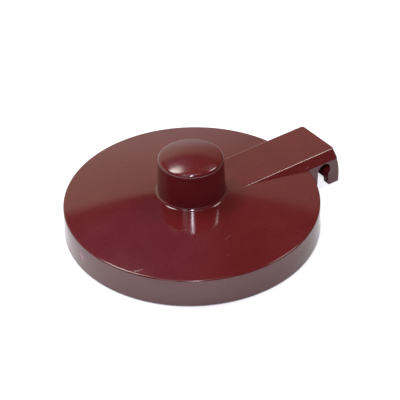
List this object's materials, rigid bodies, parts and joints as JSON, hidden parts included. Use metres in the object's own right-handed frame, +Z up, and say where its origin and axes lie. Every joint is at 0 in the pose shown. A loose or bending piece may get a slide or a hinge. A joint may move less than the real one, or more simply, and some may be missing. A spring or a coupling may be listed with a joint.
{
  "type": "teapot lid",
  "caption": "Round domed pot lid with a skirt, a finger knob and a hinge arm ending in open snap hooks, moulded in one piece.",
  "frame": {"origin": "middle of the footprint, on the plane that the skirt and the hooks stand on", "axes": "+X along the hinge arm, out past the rim; +Z up through the knob; the lid is alike on both sides of Y = 0"},
  "size_m": [0.121, 0.1054, 0.0347],
  "materials": {
    "maroon_gloss_plastic": "glossy moulded maroon"
  },
  "bodies": {
    "root": {"lid": "maroon_gloss_plastic"}
  },
  "joints": []
}
